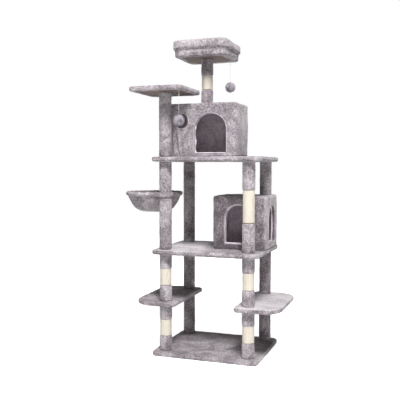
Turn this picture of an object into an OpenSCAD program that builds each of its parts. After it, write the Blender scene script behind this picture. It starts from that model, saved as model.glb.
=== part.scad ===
// Tall cat tree: a base, two side shelves and two platforms on plush posts, two
// condos, a hammock, a lookout perch, a padded top bed and two hanging toys.
// Sizes are in millimetres. The origin is the centre of the base's underside,
// with +X to the right, +Y to the back and +Z up.

/* [Base and platforms] */
// Width of the base and of both platforms
base_w = 600; // [590:5:640]
// Depth of the base and of both platforms
base_d = 500; // [490:5:540]
// Corner radius of the base and platforms
base_r = 35; // [20:1:45]
// Thickness of the particle boards
board_t = 15; // [12:1:18]
// Thickness of the plush on boards and condos, backing and pile
plush_t = 5; // [4:0.5:6]
// Width of the plush folded under a board's edge
lip_w = 20; // [12:1:20]
// Underside of the middle platform
middle_z = 560; // [540:5:600]
// Underside of the upper platform
upper_z = 1065; // [1050:5:1100]

/* [Side shelves] */
// Distance from the middle of the tree to a shelf's inner edge
shelf_inner_x = 165; // [155:1:170]
// Distance from the middle of the tree to a shelf's outer edge
shelf_outer_x = 410; // [380:5:430]
// Depth of a side shelf
shelf_d = 490; // [488:1:500]
// Radius of a shelf's two outer corners
shelf_outer_r = 100; // [60:5:110]
// Radius of a shelf's two inner corners
shelf_inner_r = 30; // [15:1:35]
// Underside of the side shelves
shelf_z = 275; // [260:5:290]

/* [Posts] */
// Outside diameter of a plush post
post_d = 68; // [66:1:70]
// Outside diameter of the sisal bands
sisal_d = 64; // [63:0.5:65]
// Outside diameter of the cardboard tubes
tube_d = 56; // [52:1:58]
// Wall of the cardboard tubes
tube_wall = 4; // [3:0.5:5]
// Distance from a post's axis to the edges of the base
post_inset = 65; // [64:1:70]
// Length of the four low sisal bands
sisal_low = 92; // [60:1:120]
// Length of the tall sisal band
sisal_tall = 175; // [100:5:300]
// Length of the sisal band on the bed post
sisal_bed = 85; // [50:5:150]

/* [Condos] */
// Width of the lower condo
low_w = 298; // [280:2:300]
// Depth of the lower condo
low_d = 305; // [290:5:310]
// Width of the upper condo
high_w = 393; // [390:1:410]
// Depth of the upper condo
high_d = 250; // [250:5:300]
// Height of both condos
condo_h = 290; // [280:5:300]
// Radius of the upright corners of both condos
condo_r = 35; // [25:1:40]
// Thickness of the bent hardboard wall
wall_t = 6; // [4:0.5:8]
// Thickness of the plush lining
lining_t = 4; // [3:0.5:5]
// Width of the lower condo's doors
low_door_w = 156; // [130:2:170]
// Height of the lower condo's doors above their sill
low_door_h = 216; // [180:2:225]
// Width of the upper condo's door
high_door_w = 186; // [150:2:200]
// Height of the upper condo's door above its sill
high_door_h = 220; // [190:2:230]
// Diameter of the upper condo's round window
window_d = 90; // [60:2:100]

/* [Perch and bed] */
// Width of the lookout perch
perch_w = 300; // [280:5:320]
// Depth of the lookout perch
perch_d = 320; // [300:5:340]
// Underside of the perch
perch_z = 1433; // [1400:1:1450]
// Width of the bed across its bolster
bed_w = 330; // [320:5:350]
// Depth of the bed across its bolster
bed_d = 320; // [310:5:340]
// Underside of the bed's board
bed_z = 1650; // [1600:5:1700]
// Height of the bolster, from its lip under the board
bolster_h = 90; // [75:1:100]

/* [Hammock] */
// Radius of the hoop's centreline
hoop_r = 152; // [130:1:160]
// Radius of the plush sleeve round the hoop
rim_r = 11; // [9:0.5:12]
// Height of the hoop
hoop_z = 884; // [860:1:900]
// Depth of the sling below its rim
sling_drop = 90; // [60:1:110]
// Direction of the hammock round its post, in degrees from +X
hammock_turn = 131.5; // [125:0.5:140]

/* [Toys] */
// Diameter of the pompoms
pompom_d = 60; // [40:2:64]
// Diameter of the strings
string_d = 2.5; // [1.5:0.5:3]

/* [Hidden] */
$fn = 96;
fit_gap = 0.4;

slab_t = board_t + 2 * plush_t;
base_top = slab_t;
shelf_top = shelf_z + slab_t;
middle_top = middle_z + slab_t;
upper_top = upper_z + slab_t;

post_x = base_w / 2 - post_inset;
post_y = base_d / 2 - post_inset;
front_left = [-post_x, -post_y];
front_right = [post_x, -post_y];
back_left = [-post_x, post_y];
back_right = [post_x, post_y];
shelf_w = shelf_outer_x - shelf_inner_x;
shelf_x = (shelf_outer_x + shelf_inner_x) / 2;

// Plan centres of the two condos, the perch and the bed
low_centre = [150, 62.5];
high_centre = [-48.5, 5];
bed_centre = [-89, 92];
low_top = middle_top + condo_h;
high_top = upper_top + condo_h;
roof_t = 12;

// A post's tube is plugged at both ends, and each plug holds a threaded insert
tube_bore = tube_d - 2 * tube_wall;
plug_t = 20;
stud_d = 8;
hole_d = 8.6;
stud_grip = 18;
bolt_head_d = 17;
bolt_head_t = 3;
recess_d = bolt_head_d + 1;
recess_t = bolt_head_t + 0.5;
bolt_sunk = 0.3;

// Doors: the sill above the condo's floor, and the turned-in edge of the plush
low_sill = 30;
high_sill = 19;
door_trim = 3;
low_side_door_y = 7.5;
high_door_x = 47.5;
window_x = -122.5;
window_z = 196;

// Corner radii of the perch and of the bolster, how far the bed's board stops inside the
// bolster, and the bolster's thickness
perch_r = 30;
bed_r = 60;
bed_board_inset = 25;
bolster_t = 50;
lower_lobe_inset = 12;
lower_lobe_h = 42;
bed_pad_t = 20;

// Hammock: the hoop stands just clear of the post, on a welded saddle plate
rod_r = 4;
hoop_offset = post_d / 2 + 1 + rim_r + hoop_r;
hoop_centre = front_left + hoop_offset * [cos(hammock_turn), sin(hammock_turn)];
sling_t = 6;
sling_edge_r = hoop_r + sling_t / 2;
sling_ball_r = (sling_edge_r * sling_edge_r + sling_drop * sling_drop) / (2 * sling_drop);
saddle_w = 28;
saddle_h = 80;
saddle_gap = 0.3;
saddle_out = 42.6;
hammock_bolt_d = 6;
hammock_bolt_rise = 32;
hammock_bolt_len = 35;
hammock_head_d = 12;
hammock_head_t = 4;
block_margin = 13;
strap_t = 8;
strap_h = 26;
strap_end = [38, 47];

// Toys: each staple's crown is the point that a toy's loop sways from
left_pivot = [-105, -315, 1428];
right_pivot = [45, 105, 1640];
staple_w = 10;
staple_r = 0.8;
staple_h = 13;
loop_wire_r = 1.2;
loop_half_w = 2.6;
loop_drop = 5;
loop_rise = staple_r + loop_wire_r + 0.05;
pompom_drop = 153.5;

// Routes of the two strings, from the loop down into the pompom
left_string_route = [
    [-105, -315, 1421.5], [-105, -315, 1415], [-105, -315, 1408], [-105, -315, 1401],
    [-105, -315, 1394], [-105, -315, 1387], [-105, -315, 1380], [-105, -315, 1373],
    [-105, -315, 1366], [-105, -315, 1359], [-105, -315, 1352], [-105, -315, 1345],
    [-105, -315, 1338], [-105, -315, 1331], [-105, -315, 1324], [-105, -315, 1317],
    [-105, -315, 1310], [-105, -315, 1303.5]];
right_string_route = [
    [45, 105, 1633.5], [45, 105, 1627], [45, 105, 1620], [45, 105, 1613],
    [45, 105, 1606], [45, 105, 1599], [45, 105, 1592], [45, 105, 1585],
    [45, 105, 1578], [45, 105, 1571], [45, 105, 1564], [45, 105, 1557],
    [45, 105, 1550], [45, 105, 1543], [45, 105, 1536], [45, 105, 1529],
    [45, 105, 1522], [45, 105, 1515.5]];

// Each post piece: name, place, foot, top and the length of its sisal band
POSTS = [
    ["front_left_post_1", front_left, base_top, shelf_z + plush_t, sisal_low],
    ["front_left_post_2", front_left, shelf_top, middle_z + plush_t, sisal_low],
    ["front_left_post_3", front_left, middle_top, upper_z + plush_t, 0],
    ["front_left_post_4", front_left, upper_top, perch_z + plush_t, 0],
    ["front_right_post_1", front_right, base_top, shelf_z + plush_t, sisal_low],
    ["front_right_post_2", front_right, shelf_top, middle_z + plush_t, sisal_low],
    ["front_right_post_3", front_right, middle_top, upper_z + plush_t, sisal_tall],
    ["back_left_post_1", back_left, base_top, shelf_z + plush_t, 0],
    ["back_left_post_2", back_left, shelf_top, middle_z + plush_t, 0],
    ["back_left_post_3", back_left, middle_top, upper_z + plush_t, 0],
    ["back_right_post_1", back_right, base_top, shelf_z + plush_t, 0],
    ["back_right_post_2", back_right, shelf_top, middle_z + plush_t, 0],
    ["back_right_post_3", back_right, low_top, upper_z + plush_t, 0],
    ["bed_post", bed_centre, high_top, bed_z, sisal_bed]];
FRONT = [0, 1, 2, 3, 4, 5, 6];
BACK = [7, 8, 9, 10, 11, 12, 13];
HAMMOCK_POST = 2;

// Each sisal band: name and the post piece that it is wound on
SISALS = [["front_left_sisal_1", 0], ["front_left_sisal_2", 1], ["front_right_sisal_1", 4],
    ["front_right_sisal_2", 5], ["front_right_sisal_3", 6], ["bed_post_sisal", 13]];

// Joints between a lower post, the board on it and the post above: plan place,
// top of the lower post and foot of the upper one
STUDS = [
    [front_left, shelf_z + plush_t, shelf_top], [back_left, shelf_z + plush_t, shelf_top],
    [front_right, shelf_z + plush_t, shelf_top], [back_right, shelf_z + plush_t, shelf_top],
    [front_left, middle_z + plush_t, middle_top], [back_left, middle_z + plush_t, middle_top],
    [front_right, middle_z + plush_t, middle_top], [front_left, upper_z + plush_t, upper_top]];

// Bolts put in from below: place, bottom of the board, height of the post's foot
UP_BOLTS = [
    [front_left, 0, base_top], [front_right, 0, base_top],
    [back_left, 0, base_top], [back_right, 0, base_top],
    [back_right, low_top - plush_t - roof_t, low_top],
    [bed_centre, high_top - plush_t - roof_t, high_top]];

// Bolts put in from above: place, top of the board, height of the post's top
DOWN_BOLTS = [
    [back_right, middle_top - plush_t, middle_z + plush_t],
    [back_left, upper_top - plush_t, upper_z + plush_t],
    [front_right, upper_top - plush_t, upper_z + plush_t],
    [back_right, upper_top - plush_t, upper_z + plush_t],
    [front_left, perch_z + slab_t - plush_t, perch_z + plush_t],
    [bed_centre, bed_z + board_t, bed_z]];

plush_colour = [0.64, 0.60, 0.65];
dark_plush_colour = [0.40, 0.36, 0.41];
sisal_colour = [0.93, 0.90, 0.82];
board_colour = [0.55, 0.46, 0.38];
tube_colour = [0.66, 0.55, 0.42];
steel_colour = [0.72, 0.73, 0.75];
string_colour = [0.90, 0.88, 0.88];

// A rectangle centred on the origin, with a radius for each corner in the order
// front left, front right, back right, back left
module rounded(w, d, radii) {
    corners = [[-w / 2, -d / 2, 0], [w / 2, -d / 2, 90], [w / 2, d / 2, 180], [-w / 2, d / 2, 270]];
    difference() {
        square([w, d], center = true);
        for (i = [0:3]) translate([corners[i][0], corners[i][1]]) rotate(corners[i][2])
            difference() {
                translate([-1, -1]) square(radii[i] + 1);
                translate([radii[i], radii[i]]) circle(radii[i]);
            }
    }
}

// A flat slab of that outline, drawn inset from its edge, between two heights
module slab(w, d, radii, inset, z0, z1) {
    translate([0, 0, z0]) linear_extrude(z1 - z0)
        rounded(w - 2 * inset, d - 2 * inset, [for (r = radii) r - inset]);
}

module holes(places, d, z0, z1) {
    for (p = places) translate([p[0], p[1], z0]) cylinder(d = d, h = z1 - z0);
}

// A particle board, and recesses for bolt heads in its top
module board(w, d, radii, bolts, head_recesses = []) {
    color(board_colour) difference() {
        slab(w, d, radii, plush_t, plush_t, plush_t + board_t);
        holes(bolts, hole_d, 0, slab_t);
        holes(head_recesses, recess_d, slab_t - plush_t - recess_t, slab_t);
    }
}

// The plush on a board: top, edges and the lip that is stapled underneath
module board_cover(w, d, radii, bolts) {
    color(plush_colour) difference() {
        slab(w, d, radii, 0, 0, slab_t);
        slab(w, d, radii, plush_t, plush_t, plush_t + board_t);
        slab(w, d, radii, plush_t + lip_w, -1, plush_t + 1);
        holes(bolts, hole_d, slab_t - plush_t - 1, slab_t + 1);
    }
}

function all4(r) = [r, r, r, r];
platform_radii = all4(base_r);
perch_radii = all4(perch_r);
left_radii = [shelf_outer_r, shelf_inner_r, shelf_inner_r, shelf_outer_r];
right_radii = [shelf_inner_r, shelf_outer_r, shelf_outer_r, shelf_inner_r];
four_posts = [front_left, front_right, back_left, back_right];
left_posts = [front_left - [-shelf_x, 0], back_left - [-shelf_x, 0]];
right_posts = [front_right - [shelf_x, 0], back_right - [shelf_x, 0]];

// The base board is stepped, so that its underside is flush with the folded plush
module base_board() {
    color(board_colour) difference() {
        union() {
            slab(base_w, base_d, platform_radii, plush_t, plush_t, plush_t + board_t);
            slab(base_w, base_d, platform_radii, plush_t + lip_w, 0, plush_t + 1);
        }
        holes(four_posts, hole_d, -1, slab_t);
        holes(four_posts, recess_d, -1, recess_t);
    }
}
module base_cover() board_cover(base_w, base_d, platform_radii, four_posts);
module left_shelf_board() translate([-shelf_x, 0, shelf_z])
    board(shelf_w, shelf_d, left_radii, left_posts);
module left_shelf_cover() translate([-shelf_x, 0, shelf_z])
    board_cover(shelf_w, shelf_d, left_radii, left_posts);
module right_shelf_board() translate([shelf_x, 0, shelf_z])
    board(shelf_w, shelf_d, right_radii, right_posts);
module right_shelf_cover() translate([shelf_x, 0, shelf_z])
    board_cover(shelf_w, shelf_d, right_radii, right_posts);
module middle_board() translate([0, 0, middle_z])
    board(base_w, base_d, platform_radii, four_posts, [back_right]);
module middle_cover() translate([0, 0, middle_z])
    board_cover(base_w, base_d, platform_radii, [front_left, front_right, back_left]);
module upper_board() translate([0, 0, upper_z])
    board(base_w, base_d, platform_radii, four_posts, [front_right, back_left, back_right]);
module upper_cover() translate([0, 0, upper_z])
    board_cover(base_w, base_d, platform_radii, [front_left]);
module perch_board() translate([front_left[0], front_left[1], perch_z])
    board(perch_w, perch_d, perch_radii, [[0, 0]], [[0, 0]]);
module perch_cover() translate([front_left[0], front_left[1], perch_z])
    board_cover(perch_w, perch_d, perch_radii, []);

// The two radial holes that the hammock's bolts pass through
module hammock_bolt_holes() {
    translate([front_left[0], front_left[1], hoop_z]) rotate([0, 0, hammock_turn])
        for (s = [-1, 1]) translate([0, 0, s * hammock_bolt_rise]) rotate([0, 90, 0])
            cylinder(d = hammock_bolt_d + fit_gap, h = post_d);
}

// A plush sleeve on a tube, in two lengths where a sisal band parts it
module sleeve(i) {
    p = POSTS[i];
    band = p[4];
    middle = (p[2] + p[3]) / 2;
    color(plush_colour) difference() {
        translate([p[1][0], p[1][1], p[2]]) cylinder(d = post_d, h = p[3] - p[2]);
        translate([p[1][0], p[1][1], p[2] - 1]) cylinder(d = tube_d, h = p[3] - p[2] + 2);
        if (band > 0) translate([p[1][0], p[1][1], middle - band / 2])
            cylinder(d = post_d + 2, h = band);
        if (i == HAMMOCK_POST) hammock_bolt_holes();
    }
}

// A band of sisal rope wound on a tube, halfway up its post
module sisal(i) {
    p = POSTS[i];
    band = p[4];
    translate([p[1][0], p[1][1], (p[2] + p[3]) / 2 - band / 2]) color(sisal_colour)
        difference() {
            cylinder(d = sisal_d, h = band);
            translate([0, 0, -1]) cylinder(d = tube_d, h = band + 2);
        }
}

module tubes(which) {
    color(tube_colour) for (i = which) {
        p = POSTS[i];
        difference() {
            translate([p[1][0], p[1][1], p[2]]) cylinder(d = tube_d, h = p[3] - p[2]);
            translate([p[1][0], p[1][1], p[2] - 1])
                cylinder(d = tube_bore, h = p[3] - p[2] + 2);
            if (i == HAMMOCK_POST) hammock_bolt_holes();
        }
    }
}
module front_tubes() tubes(FRONT);
module back_tubes() tubes(BACK);

// Wooden plugs glued into the ends of every tube, and one behind the hammock
module plug(place, z, h, bore) {
    translate([place[0], place[1], z]) difference() {
        cylinder(d = tube_bore, h = h);
        if (bore) translate([0, 0, -1]) cylinder(d = stud_d, h = h + 2);
    }
}
module post_plugs() color(board_colour) {
    for (p = POSTS) {
        plug(p[1], p[2], plug_t, true);
        plug(p[1], p[3] - plug_t, plug_t, true);
    }
    block_h = 2 * (hammock_bolt_rise + block_margin);
    difference() {
        plug(front_left, hoop_z - block_h / 2, block_h, false);
        translate([front_left[0], front_left[1], hoop_z]) rotate([0, 0, hammock_turn])
            for (s = [-1, 1])
                translate([saddle_out - hammock_bolt_len, 0, s * hammock_bolt_rise])
                    rotate([0, 90, 0]) cylinder(d = hammock_bolt_d, h = post_d);
    }
}

// Double-ended studs that join a post, a board and the post above it
module joining_studs() color(steel_colour)
    for (s = STUDS) translate([s[0][0], s[0][1], s[1] - stud_grip])
        cylinder(d = stud_d, h = s[2] - s[1] + 2 * stud_grip);

// Flat-headed furniture bolts at the ends of the columns
module joining_bolt(reach) {
    cylinder(d = bolt_head_d, h = bolt_head_t);
    cylinder(d = stud_d, h = reach + stud_grip);
}
module joining_bolts() color(steel_colour) {
    for (b = UP_BOLTS) translate([b[0][0], b[0][1], b[1] + bolt_sunk])
        joining_bolt(b[2] - b[1]);
    for (b = DOWN_BOLTS) translate([b[0][0], b[0][1], b[1] - bolt_sunk]) rotate([180, 0, 0])
        joining_bolt(b[1] - b[2]);
}

// A door's outline, grown by its edge trim: a sill, straight sides, a round head
module door(w, h, grow) {
    r = w / 2 + grow;
    translate([-r, -grow]) square([2 * r, h - w / 2 + grow]);
    translate([0, h - w / 2]) circle(r);
}

// A door cut through the front wall, or through the right wall if turned
module front_door(x, face_y, sill, w, h, grow, depth) {
    translate([x, face_y + depth, sill]) rotate([90, 0, 0]) linear_extrude(depth + 2)
        door(w, h, grow);
}
module side_door(face_x, y, sill, w, h, grow, depth) {
    translate([face_x - depth, y, sill]) rotate([90, 0, 90]) linear_extrude(depth + 2)
        door(w, h, grow);
}
module window(depth, grow) {
    translate([window_x, depth - high_d / 2, window_z]) rotate([90, 0, 0])
        cylinder(d = window_d + 2 * grow, h = depth + 2);
}
module low_doors(grow, depth) {
    front_door(0, -low_d / 2, low_sill, low_door_w, low_door_h, grow, depth);
    side_door(low_w / 2, low_side_door_y, low_sill, low_door_w, low_door_h, grow, depth);
}
module high_doors(grow, depth) {
    front_door(high_door_x, -high_d / 2, high_sill, high_door_w, high_door_h, grow, depth);
    window(depth, grow);
}

skin_t = plush_t + wall_t + lining_t;
wall_h = condo_h - plush_t - roof_t;
condo_radii = all4(condo_r);

// Bent hardboard wall, closed by a seam at the back
module condo_wall(w, d) {
    color(board_colour) difference() {
        slab(w, d, condo_radii, plush_t, 0, wall_h);
        slab(w, d, condo_radii, plush_t + wall_t, -1, wall_h + 1);
        children();
    }
}
module condo_roof(w, d, bolt) {
    color(board_colour) difference() {
        slab(w, d, condo_radii, plush_t, wall_h, wall_h + roof_t);
        holes([bolt], hole_d, wall_h - 1, condo_h);
        holes([bolt], recess_d, wall_h - 1, wall_h + recess_t);
    }
}
module condo_cover(w, d, bolt) {
    color(plush_colour) difference() {
        slab(w, d, condo_radii, 0, 0, condo_h);
        slab(w, d, condo_radii, plush_t, -1, condo_h - plush_t);
        holes([bolt], hole_d, condo_h - plush_t - 1, condo_h + 1);
        children();
    }
}
module condo_lining(w, d) {
    color(dark_plush_colour) difference() {
        slab(w, d, condo_radii, plush_t + wall_t, 0, wall_h);
        slab(w, d, condo_radii, skin_t, -1, wall_h - lining_t);
        children();
    }
}

low_bolt = back_right - low_centre;
high_bolt = bed_centre - high_centre;
module at_low() translate([low_centre[0], low_centre[1], middle_top]) children();
module at_high() translate([high_centre[0], high_centre[1], upper_top]) children();

module lower_condo_wall() at_low() condo_wall(low_w, low_d) low_doors(door_trim, skin_t + 1);
module lower_condo_roof() at_low() condo_roof(low_w, low_d, low_bolt);
module lower_condo_lining() at_low() condo_lining(low_w, low_d) low_doors(door_trim, skin_t + 1);
module upper_condo_wall() at_high() condo_wall(high_w, high_d) high_doors(door_trim, skin_t + 1);
module upper_condo_roof() at_high() condo_roof(high_w, high_d, high_bolt);
module upper_condo_lining() at_high()
    condo_lining(high_w, high_d) high_doors(door_trim, skin_t + 1);

// The outer plush turns in round each door's cut edge, as far as the lining
module lower_condo_cover() at_low() color(plush_colour) {
    difference() {
        union() {
            condo_cover(low_w, low_d, low_bolt);
            difference() {
                intersection() {
                    slab(low_w, low_d, condo_radii, 0, 0, wall_h);
                    low_doors(door_trim, skin_t);
                }
                slab(low_w, low_d, condo_radii, skin_t, -1, wall_h + 1);
            }
        }
        low_doors(0, skin_t + 1);
    }
}
module upper_condo_cover() at_high() color(plush_colour) {
    difference() {
        union() {
            condo_cover(high_w, high_d, high_bolt);
            difference() {
                intersection() {
                    slab(high_w, high_d, condo_radii, 0, 0, wall_h);
                    high_doors(door_trim, skin_t);
                }
                slab(high_w, high_d, condo_radii, skin_t, -1, wall_h + 1);
            }
        }
        high_doors(0, skin_t + 1);
    }
}

bed_radii = all4(bed_r);
module at_bed() translate([bed_centre[0], bed_centre[1], bed_z]) children();
module bed_board() at_bed() color(board_colour) difference() {
    slab(bed_w, bed_d, bed_radii, bed_board_inset, 0, board_t);
    holes([[0, 0]], hole_d, -1, board_t + 1);
    holes([[0, 0]], recess_d, board_t - recess_t, board_t + 1);
}
module bed_pad() at_bed() color(plush_colour)
    slab(bed_w, bed_d, bed_radii, bolster_t + fit_gap, board_t, board_t + bed_pad_t);

// A stuffed bolster in two lobes, with a lip stapled under the board
module bed_bolster() at_bed() color(plush_colour) difference() {
    union() {
        slab(bed_w, bed_d, bed_radii, lower_lobe_inset, -plush_t, lower_lobe_h - plush_t);
        slab(bed_w, bed_d, bed_radii, 0, lower_lobe_h - plush_t, bolster_h - plush_t);
    }
    slab(bed_w, bed_d, bed_radii, bed_board_inset, 0, board_t);
    slab(bed_w, bed_d, bed_radii, bolster_t, board_t - 1, bolster_h);
    slab(bed_w, bed_d, bed_radii, bed_board_inset + lip_w, -plush_t - 1, 1);
}

module at_hoop() translate([hoop_centre[0], hoop_centre[1], hoop_z])
    rotate([0, 0, hammock_turn]) children();
module at_hammock_post() translate([front_left[0], front_left[1], hoop_z])
    rotate([0, 0, hammock_turn]) children();
module saddle_block(grow) translate([post_d / 2 + saddle_gap - grow, -saddle_w / 2 - grow,
        -saddle_h / 2 - grow])
    cube([saddle_out - post_d / 2 - saddle_gap + 2 * grow, saddle_w + 2 * grow, saddle_h + 2 * grow]);

// Steel hoop with its welded saddle plate, drilled for two bolts
module hammock_hoop() color(steel_colour) {
    difference() {
        union() {
            at_hoop() rotate_extrude() translate([hoop_r, 0]) circle(rod_r, $fn = 32);
            at_hammock_post() saddle_block(0);
        }
        at_hammock_post() for (s = [-1, 1]) translate([0, 0, s * hammock_bolt_rise])
            rotate([0, 90, 0]) cylinder(d = hammock_bolt_d + fit_gap, h = post_d);
    }
}
module hammock_rim() color(plush_colour) difference() {
    at_hoop() rotate_extrude() translate([hoop_r, 0]) difference() {
        circle(rim_r, $fn = 48);
        circle(rod_r, $fn = 32);
    }
    at_hammock_post() saddle_block(fit_gap / 2);
}

// A dished sling, sewn to the underside of the rim
module hammock_sling() color(plush_colour) at_hoop() translate([0, 0, -rim_r])
    rotate_extrude() intersection() {
        translate([0, sling_ball_r - sling_drop]) difference() {
            circle(sling_ball_r, $fn = 128);
            circle(sling_ball_r - sling_t, $fn = 128);
        }
        translate([0, -2 * sling_drop]) square([2 * hoop_r, 2 * sling_drop]);
    }

// A plush strap from the rim round the front of the post: a half circle and two legs
module hammock_strap() color(plush_colour) at_hammock_post()
    translate([0, 0, -strap_h / 2]) linear_extrude(strap_h) {
        inner = post_d / 2 + saddle_gap;
        arc = [for (a = [90:5:270]) [cos(a), sin(a)]];
        last = len(arc) - 1;
        legs = [strap_end + [0, strap_t / 2], strap_end - [0, strap_t / 2]];
        polygon(concat([legs[0]], (inner + strap_t) * arc,
            [[legs[0][0], -legs[0][1]], [legs[1][0], -legs[1][1]]],
            [for (i = [last:-1:0]) inner * arc[i]], [legs[1]]));
    }
module hammock_bolts() color(steel_colour) at_hammock_post()
    for (s = [-1, 1]) translate([0, 0, s * hammock_bolt_rise]) rotate([0, 90, 0]) {
        translate([0, 0, saddle_out]) cylinder(d = hammock_head_d, h = hammock_head_t);
        translate([0, 0, saddle_out - hammock_bolt_len])
            cylinder(d = hammock_bolt_d, h = hammock_bolt_len);
    }

// Wire staples driven up into the perch and the bed board
module staple() {
    translate([-staple_w / 2, 0, 0]) rotate([0, 90, 0]) cylinder(r = staple_r, h = staple_w, $fn = 24);
    for (s = [-1, 1]) translate([s * staple_w / 2, 0, 0]) {
        sphere(staple_r, $fn = 24);
        cylinder(r = staple_r, h = staple_h, $fn = 24);
    }
}
module toy_staples() color(steel_colour) {
    translate(left_pivot) staple();
    translate(right_pivot) staple();
}

// A loop of string hung over the staple's crown: the pompom's string is tied round its
// lower side, a level length of loop_drop below the crown
module toy_loop(pivot) color(string_colour) translate(pivot) {
    for (z = [loop_rise, -loop_drop]) translate([0, -loop_half_w, z]) rotate([-90, 0, 0])
        cylinder(r = loop_wire_r, h = 2 * loop_half_w, $fn = 24);
    for (y = [-loop_half_w, loop_half_w]) {
        translate([0, y, -loop_drop])
            cylinder(r = loop_wire_r, h = loop_rise + loop_drop, $fn = 24);
        for (z = [loop_rise, -loop_drop]) translate([0, y, z]) sphere(loop_wire_r, $fn = 24);
    }
}
module left_toy_loop() toy_loop(left_pivot);
module right_toy_loop() toy_loop(right_pivot);

// A round string swept along its route: one ring of points at each route point
module string(route) {
    sides = 8;
    rings = len(route);
    points = [for (p = route) for (k = [0:sides - 1])
        p + string_d / 2 * [cos(360 * k / sides), sin(360 * k / sides), 0]];
    walls = [for (i = [0:rings - 2]) for (k = [0:sides - 1])
        let (n = (k + 1) % sides)
        [i * sides + k, i * sides + n, (i + 1) * sides + n, (i + 1) * sides + k]];
    color(string_colour) polyhedron(points,
        concat([[for (k = [sides - 1:-1:0]) k]], walls,
            [[for (k = [0:sides - 1]) (rings - 1) * sides + k]]));
}
module left_toy_string() string(left_string_route);
module right_toy_string() string(right_string_route);
module pompom(pivot) color(plush_colour)
    translate(pivot - [0, 0, pompom_drop]) sphere(d = pompom_d);
module left_pompom() pompom(left_pivot);
module right_pompom() pompom(right_pivot);

for (i = [0:len(POSTS) - 1]) sleeve(i);
for (s = SISALS) sisal(s[1]);
base_board();
base_cover();
left_shelf_board();
left_shelf_cover();
right_shelf_board();
right_shelf_cover();
middle_board();
middle_cover();
upper_board();
upper_cover();
perch_board();
perch_cover();
front_tubes();
back_tubes();
post_plugs();
joining_studs();
joining_bolts();
lower_condo_wall();
lower_condo_roof();
lower_condo_cover();
lower_condo_lining();
upper_condo_wall();
upper_condo_roof();
upper_condo_cover();
upper_condo_lining();
bed_board();
bed_pad();
bed_bolster();
hammock_hoop();
hammock_rim();
hammock_sling();
hammock_strap();
hammock_bolts();
toy_staples();
left_toy_loop();
left_toy_string();
left_pompom();
right_toy_loop();
right_toy_string();
right_pompom();
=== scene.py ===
import math
import random

import bmesh
import bpy
from mathutils import Matrix, Vector


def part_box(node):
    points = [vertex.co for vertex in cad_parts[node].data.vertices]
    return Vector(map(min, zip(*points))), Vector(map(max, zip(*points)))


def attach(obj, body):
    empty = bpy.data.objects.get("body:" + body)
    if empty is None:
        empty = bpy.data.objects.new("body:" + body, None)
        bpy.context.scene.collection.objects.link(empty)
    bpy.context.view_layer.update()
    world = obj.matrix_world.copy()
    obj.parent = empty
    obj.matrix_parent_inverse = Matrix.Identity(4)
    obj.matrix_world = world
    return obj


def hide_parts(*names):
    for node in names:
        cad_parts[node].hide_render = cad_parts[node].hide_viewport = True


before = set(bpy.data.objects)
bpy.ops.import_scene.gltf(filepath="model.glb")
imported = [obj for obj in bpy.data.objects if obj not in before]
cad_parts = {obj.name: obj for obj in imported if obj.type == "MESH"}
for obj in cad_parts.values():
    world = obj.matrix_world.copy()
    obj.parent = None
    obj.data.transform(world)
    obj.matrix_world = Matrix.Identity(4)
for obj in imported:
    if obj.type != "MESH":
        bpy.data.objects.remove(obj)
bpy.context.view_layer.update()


# ---- Camera, studio light and floor ----
# The camera stands low and to the right of the tree. A big soft lamp high on the right
# lights it, a weak low one opens the shadows, and the pale floor runs back to the wall.
bpy.ops.object.select_all(action="DESELECT")
bpy.ops.object.camera_add(
    location=(1.0951, -3.3713, 1.0396), rotation=(math.radians(90) - 0.0593, 0, 0.3409)
)
camera = bpy.context.object
camera.data.lens = 55.83
bpy.context.scene.camera = camera


def soft_lamp(name, place, aim, size, power):
    """A square lamp that points at a place on the tree."""
    bpy.ops.object.light_add(type="AREA", location=place)
    lamp = bpy.context.object
    lamp.name = name
    lamp.data.size = size
    lamp.data.energy = power
    lamp.rotation_euler = (Vector(aim) - Vector(place)).to_track_quat("-Z", "Y").to_euler()


soft_lamp("key_lamp", (1.20, -2.65, 4.4), (0, 0, 0.85), 1.2, 345)
soft_lamp("fill_lamp", (1.2, -3.5, 1.2), (0, 0, 0.8), 2.0, 10)
soft_lamp("back_lamp", (-1.6, 3.4, 2.6), (0, 0, 0.9), 2.0, 26)


def node(tree, kind, inputs=None, **settings):
    """Add a shader node, set it up, and give its inputs a value or a link each."""
    made = tree.nodes.new("ShaderNode" + kind)
    for name, value in settings.items():
        setattr(made, name, value)
    for name, value in (inputs or {}).items():
        if isinstance(value, bpy.types.NodeSocket):
            tree.links.new(value, made.inputs[name])
        else:
            made.inputs[name].default_value = value
    return made


studio = bpy.data.worlds.new("studio")
studio.use_nodes = True
bpy.context.scene.world = studio
paths = node(studio.node_tree, "LightPath")
brightness = node(studio.node_tree, "MapRange", {
    "Value": paths.outputs["Is Camera Ray"], "To Min": 0.13, "To Max": 1.0})
backdrop = studio.node_tree.nodes["Background"]
backdrop.inputs["Color"].default_value = (1.0, 1.0, 1.0, 1)
studio.node_tree.links.new(brightness.outputs["Result"], backdrop.inputs["Strength"])
bpy.context.scene.view_settings.view_transform = "Standard"


def new_material(name):
    """A material with a Principled shader, ready for its nodes."""
    made = bpy.data.materials.new(name)
    made.use_nodes = True
    return made, made.node_tree, made.node_tree.nodes["Principled BSDF"]


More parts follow.
